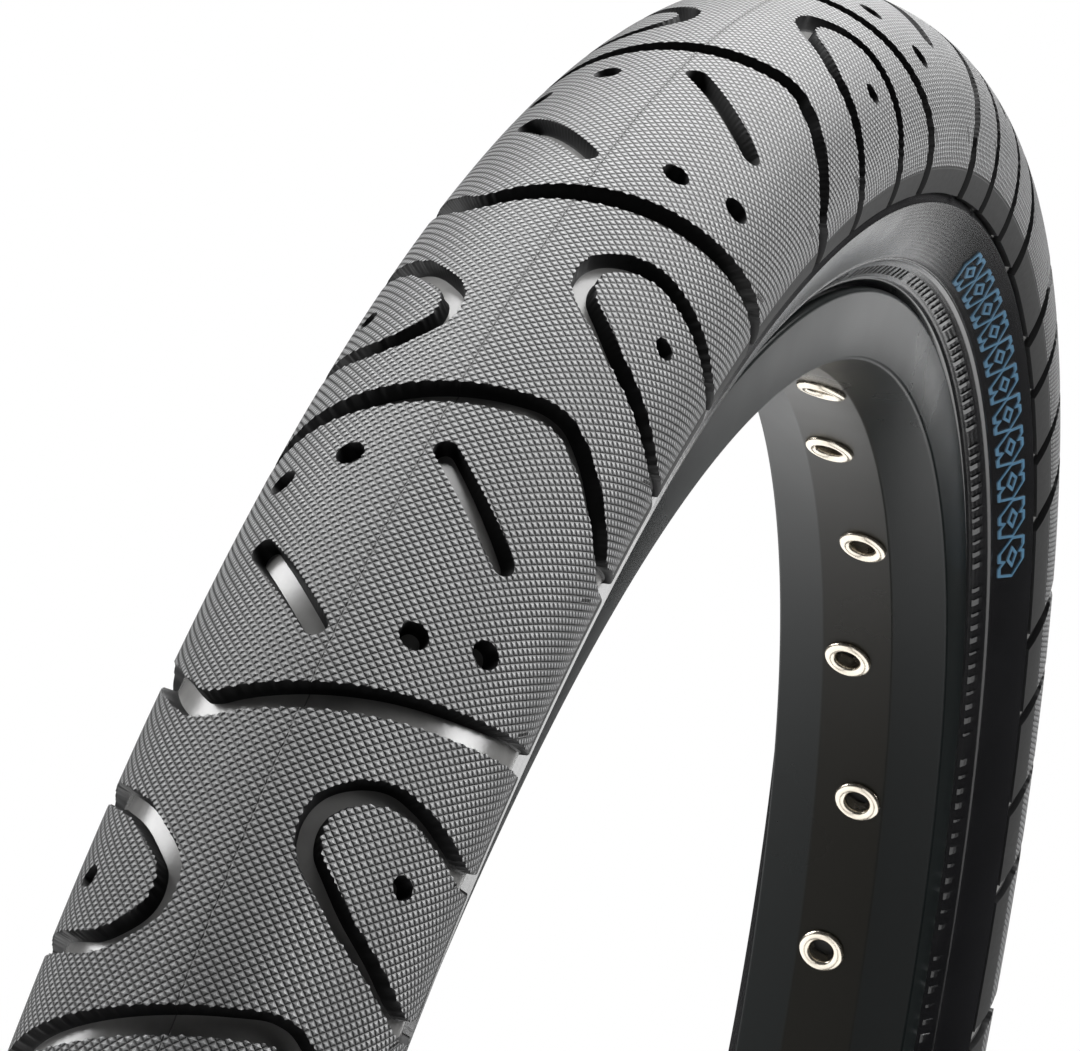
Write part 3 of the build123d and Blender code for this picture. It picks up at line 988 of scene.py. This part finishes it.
def eyelet_profile():
    """(radius, height) round an eyelet's hole, height outward from the rim's bed."""
    hole, barrel, lip, flange = 2.15, 2.75, 3.4, 4.1
    dome_base, dome_height, under_flange = -0.12, 0.8, -0.05
    well_face, roll_height = WELL - BED + 0.1, 0.6
    crest, width = (hole + flange) / 2, (flange - hole) / 2
    dome = [
        (crest + width * math.cos(a), dome_base - dome_height * math.sin(a))
        for a in np.linspace(0, math.pi, 15)
    ]
    bore = [(hole, 0.6), (hole, well_face)]
    lip_mid, lip_width = (hole + lip) / 2, (lip - hole) / 2
    roll = [
        (lip_mid - lip_width * math.cos(a), well_face + roll_height * math.sin(a))
        for a in np.linspace(0, math.pi, 11)
    ]
    outside = [(barrel, well_face), (barrel, under_flange), (flange, under_flange)]
    return np.array(dome + bore + roll + outside)


def build_rim():
    """The hoop with its spoke holes and valve hole cut through."""
    rim = ring_mesh("rim_hoop", rim_profile(), RIM_STEPS)
    cutter_mesh = bpy.data.meshes.new("spoke_holes")
    work = bmesh.new()
    places = []
    for i in range(EYELETS):
        sign = -1 if i % 2 == 0 else 1
        degrees = FIRST_EYELET_DEG - i * 360 / EYELETS
        places.append((degrees, sign * EYELET_OFFSET, SPOKE_HOLE_RADIUS))
    places.append((-90.0, 0.0, VALVE_HOLE_RADIUS))
    for degrees, y, radius in places:
        theta = math.radians(degrees)
        out = Vector((math.cos(theta), 0, math.sin(theta)))
        turn = out.to_track_quat("Z", "Y").to_matrix().to_4x4()
        spot = Matrix.Translation((out * (BED + 1) + Vector((0, y, 0))) * MM) @ turn
        bmesh.ops.create_cone(
            work, cap_ends=True, segments=40, radius1=radius * MM, radius2=radius * MM,
            depth=CUTTER_LENGTH * MM, matrix=spot,
        )
    work.to_mesh(cutter_mesh)
    work.free()
    cutter = bpy.data.objects.new("spoke_holes", cutter_mesh)
    bpy.context.scene.collection.objects.link(cutter)
    cut = rim.modifiers.new("holes", "BOOLEAN")
    cut.operation = "DIFFERENCE"
    cut.solver = "EXACT"
    cut.object = cutter
    bpy.context.view_layer.update()
    cut_rim = rim.evaluated_get(bpy.context.evaluated_depsgraph_get())
    finished = bpy.data.meshes.new_from_object(cut_rim)
    rim.modifiers.clear()
    rim.data = finished
    rim.data.set_sharp_from_angle(angle=math.radians(25))
    bpy.data.objects.remove(cutter)
    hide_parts("rim")
    return rim


def build_eyelets(name, sign, material):
    """One row of eyelets, left or right of the middle."""
    profile = eyelet_profile()
    turn = np.linspace(0, 2 * math.pi, 48, endpoint=False)
    count = len(profile)
    ring = np.stack(
        [
            profile[None, :, 0] * np.cos(turn)[:, None],
            profile[None, :, 0] * np.sin(turn)[:, None],
            np.broadcast_to(profile[None, :, 1], (len(turn), count)),
        ],
        -1,
    ).reshape(-1, 3)
    ring_faces = []
    for i in range(len(turn)):
        for j in range(count):
            a, b = i * count, (i + 1) % len(turn) * count
            k = (j + 1) % count
            ring_faces.append((a + j, a + k, b + k, b + j))
    points, faces = [], []
    for i in range(EYELETS):
        if (i % 2 == 0) != (sign < 0):
            continue
        theta = math.radians(FIRST_EYELET_DEG - i * 360 / EYELETS)
        out = np.array([math.cos(theta), 0, math.sin(theta)])
        tangent = np.array([-math.sin(theta), 0, math.cos(theta)])
        place = out * BED + np.array([0, sign * EYELET_OFFSET, 0])
        start = sum(len(p) for p in points)
        axle = np.array([0, 1, 0])
        points.append(place + ring[:, :1] * tangent + ring[:, 1:2] * axle + ring[:, 2:] * out)
        faces += [tuple(start + k for k in face) for face in ring_faces]
    piece = add_mesh(f"eyelet_row_{name}", np.vstack(points), faces, sharp_deg=50)
    set_material(piece, material)
    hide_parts(f"spoke_eyelets_{name}")


rim = build_rim()
set_material(rim, rim_black())
nickel = metal("eyelet_nickel", (0.62, 0.56, 0.46), (0.86, 0.80, 0.70), 0.24)
for name, sign in (("left", 1), ("right", -1)):
    build_eyelets(name, sign, nickel)

# ---- Valve spring ------------------------------------------------------------------
SPRING_TURNS = 7
# Radius of the wire.
WIRE = 0.14


def build_spring():
    """Coil spring in the place of the CAD's spring."""
    low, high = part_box("valve_core_spring")
    bottom, top = low.z / MM + WIRE, high.z / MM - WIRE
    radius = high.x / MM - WIRE
    turn = np.linspace(0, SPRING_TURNS * 2 * math.pi, SPRING_TURNS * 28)
    height = np.linspace(bottom, top, len(turn))
    round_wire = np.linspace(0, 2 * math.pi, 10, endpoint=False)
    reach = radius + WIRE * np.cos(round_wire)
    points = np.stack(
        [
            np.cos(turn)[:, None] * reach,
            np.sin(turn)[:, None] * reach,
            height[:, None] + WIRE * np.sin(round_wire),
        ],
        -1,
    ).reshape(-1, 3)
    n = len(round_wire)
    faces = [
        (i * n + j, i * n + (j + 1) % n, (i + 1) * n + (j + 1) % n, (i + 1) * n + j)
        for i in range(len(turn) - 1)
        for j in range(n)
    ]
    faces += [tuple(range(n))[::-1], tuple(range(len(points) - n, len(points)))]
    spring = add_mesh("core_spring_coil", points, faces)
    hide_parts("valve_core_spring")
    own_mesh(spring)
    return spring


spring = build_spring()

# ---- Parts shown as the CAD has them -----------------------------------------------
brass = metal("valve_brass", (0.60, 0.44, 0.20), (0.80, 0.64, 0.36), 0.26, 700)
steel = metal("drawn_steel", (0.45, 0.45, 0.46), (0.68, 0.68, 0.70), 0.3)
soft_black = plain("soft_black_rubber", (0.008, 0.008, 0.008), (0.022, 0.022, 0.022), 0.5)
tape_black = plain("tape_rubber", (0.012, 0.012, 0.013), (0.03, 0.03, 0.031), 0.55)
seal_red = plain("seal_rubber", (0.25, 0.03, 0.02), (0.4, 0.06, 0.04), 0.5)
cap_black = plain("cap_plastic", (0.01, 0.01, 0.01), (0.025, 0.025, 0.026), 0.42)
fabric = plain("casing_fabric", (0.03, 0.028, 0.025), (0.07, 0.066, 0.06), 0.8, 900, 0.0001)
key_metal = metal("key_aluminium", (0.6, 0.6, 0.61), (0.8, 0.8, 0.81), 0.35)
for node, material in {
    "casing_ply": fabric,
    "bead_wire_left": steel,
    "bead_wire_right": steel,
    "chafer_left": soft_black,
    "chafer_right": soft_black,
    "rim_joint_keys": key_metal,
    "rim_tape": tape_black,
    "inner_tube": soft_black,
    "valve_base_patch": soft_black,
    "valve_stem_sleeve": soft_black,
    "valve_stem": brass,
    "valve_core_housing": brass,
    "valve_core_gasket": seal_red,
    "valve_core_pin": steel,
    "valve_core_cup": brass,
    "valve_core_cup_seal": seal_red,
    "valve_cap": cap_black,
    "valve_cap_seal": seal_red,
}.items():
    repaint(node, material)
set_material(spring, steel)


# ---- Floor and light ---------------------------------------------------------------
OVERHEAD_AIM = (-0.35, -0.06, -1.0)
OVERHEAD_STRENGTH = 6.6
OVERHEAD_SPREAD_DEG = 70
WORLD_STRENGTH = 0.045
# (name, place, aim, size, power)
SOFTBOXES = [
    ("front", (-1.9, -0.3, -0.3), (0.2, 0, 0.05), (0.5, 0.5), 0.8),
    ("back", (1.4, -0.25, 0.44), (0, 0, 0.2), (0.3, 0.25), 0.45),
    ("back_low", (1.6, -0.1, 0.14), (0, 0, 0.2), (0.3, 0.6), 0.7),
    ("left", (-0.2, 1.6, 0.9), (-0.1, 0, 0.15), (1.0, 1.2), 34),
    ("side", (0.35, -1.4, 1.2), (0, 0, 0.15), (1.0, 1.2), 44),
]


def add_floor():
    """Pale floor that reaches far behind the wheel, where the rim's bed mirrors it."""
    mesh = bpy.data.meshes.new("floor")
    front, behind, right, left = -0.75, 2.2, -0.42, 1.2
    low = -(OUTER + 0.3) * MM
    corners = [(front, right, low), (behind, right, low), (behind, left, low), (front, left, low)]
    mesh.from_pydata(corners, [], [(0, 1, 2, 3)])
    floor = bpy.data.objects.new("floor", mesh)
    bpy.context.scene.collection.objects.link(floor)
    set_material(floor, plain("floor_pale", (0.5, 0.5, 0.5), (0.56, 0.56, 0.56), 0.7, 300, 0.0))


def add_softbox(name, place, aim, size, power):
    data = bpy.data.lights.new(name, "AREA")
    data.shape = "RECTANGLE"
    data.size, data.size_y = size
    data.energy = power
    light = bpy.data.objects.new(name, data)
    bpy.context.scene.collection.objects.link(light)
    light.location = place
    light.rotation_euler = (Vector(aim) - Vector(place)).to_track_quat("-Z", "Y").to_euler()


def add_overhead_light():
    """One very large soft source straight above."""
    data = bpy.data.lights.new("overhead", "SUN")
    data.energy = OVERHEAD_STRENGTH
    data.angle = math.radians(OVERHEAD_SPREAD_DEG)
    light = bpy.data.objects.new("overhead", data)
    bpy.context.scene.collection.objects.link(light)
    light.rotation_euler = Vector(OVERHEAD_AIM).to_track_quat("-Z", "Y").to_euler()


def add_world():
    """White behind the object, and a dim even light from all round."""
    world = bpy.data.worlds.new("studio")
    world.use_nodes = True
    nodes, links = world.node_tree.nodes, world.node_tree.links
    seen, lit = nodes["Background"], nodes.new("ShaderNodeBackground")
    seen.inputs["Color"].default_value = (1, 1, 1, 1)
    lit.inputs["Color"].default_value = (1, 1, 1, 1)
    lit.inputs["Strength"].default_value = WORLD_STRENGTH
    ray = nodes.new("ShaderNodeLightPath")
    mix = nodes.new("ShaderNodeMixShader")
    links.new(ray.outputs["Is Camera Ray"], mix.inputs["Fac"])
    links.new(lit.outputs[0], mix.inputs[1])
    links.new(seen.outputs[0], mix.inputs[2])
    links.new(mix.outputs[0], nodes["World Output"].inputs["Surface"])
    bpy.context.scene.world = world


add_floor()
add_world()
add_overhead_light()
for softbox in SOFTBOXES:
    add_softbox(*softbox)
bpy.context.scene.view_settings.view_transform = "Standard"
